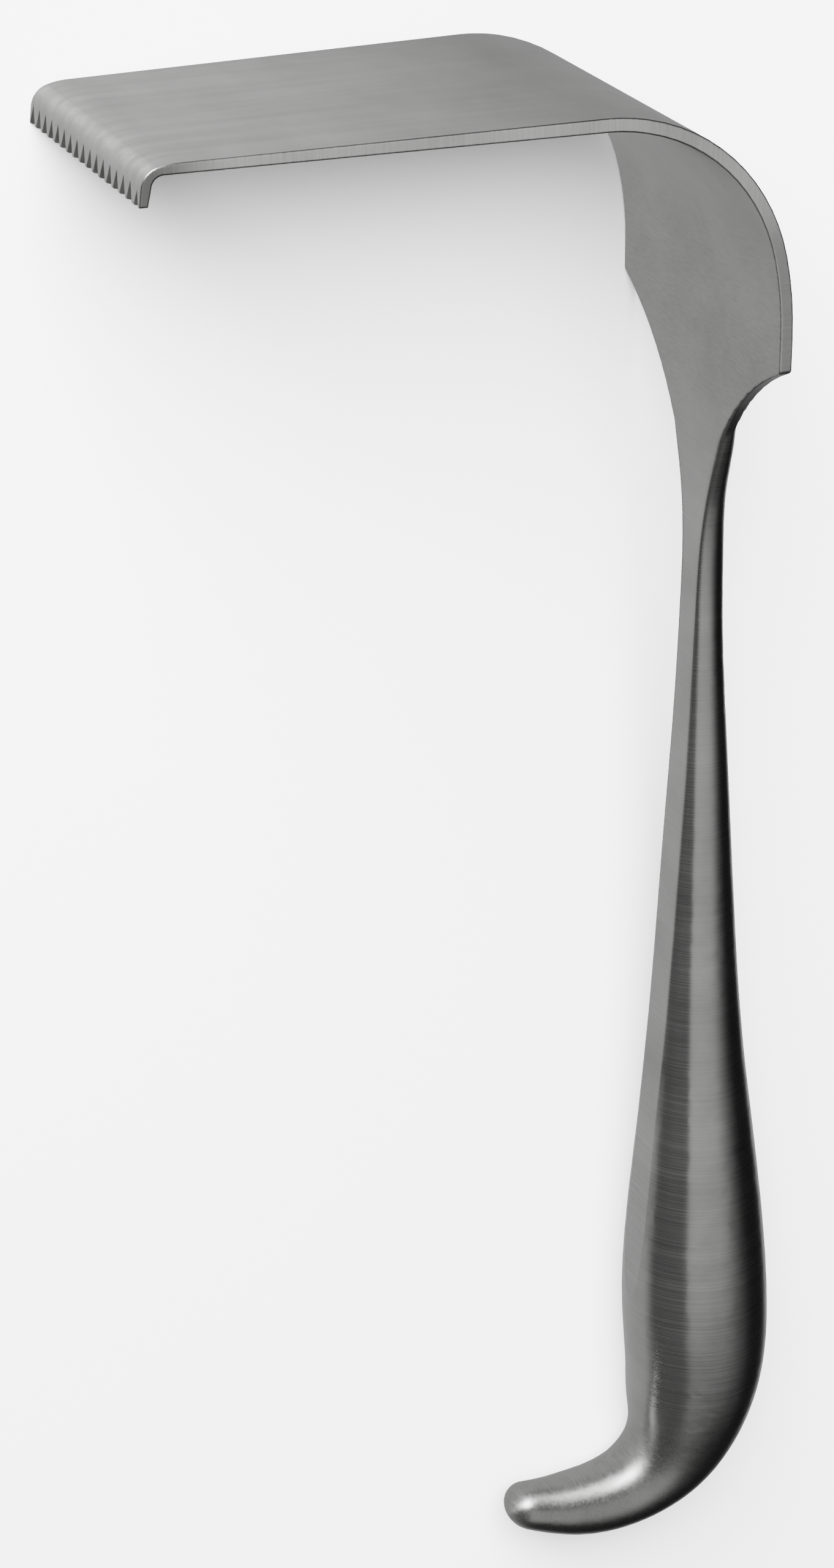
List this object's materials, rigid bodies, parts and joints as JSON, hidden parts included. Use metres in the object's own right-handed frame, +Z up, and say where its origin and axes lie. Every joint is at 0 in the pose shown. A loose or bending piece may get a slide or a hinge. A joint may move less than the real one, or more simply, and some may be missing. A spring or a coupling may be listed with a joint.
{
  "type": "handheld surgical retractor",
  "caption": "Handheld surgical retractor with a wide right-angled blade, a toothed turned-down lip, a tapering shank and a swelling grip that ends in a hook.",
  "frame": {"origin": "bottom centre of the bounding box, with the retractor lying on its far side as it comes to rest", "axes": "+Y along the handle towards the blade, +X from the toothed lip towards the back of the handle, +Z up, across the blade"},
  "size_m": [0.1094, 0.243, 0.0518],
  "materials": {
    "retractor": "fine satin brushing, brighter where it is polished"
  },
  "bodies": {
    "root": {"retractor": "retractor"}
  },
  "joints": []
}
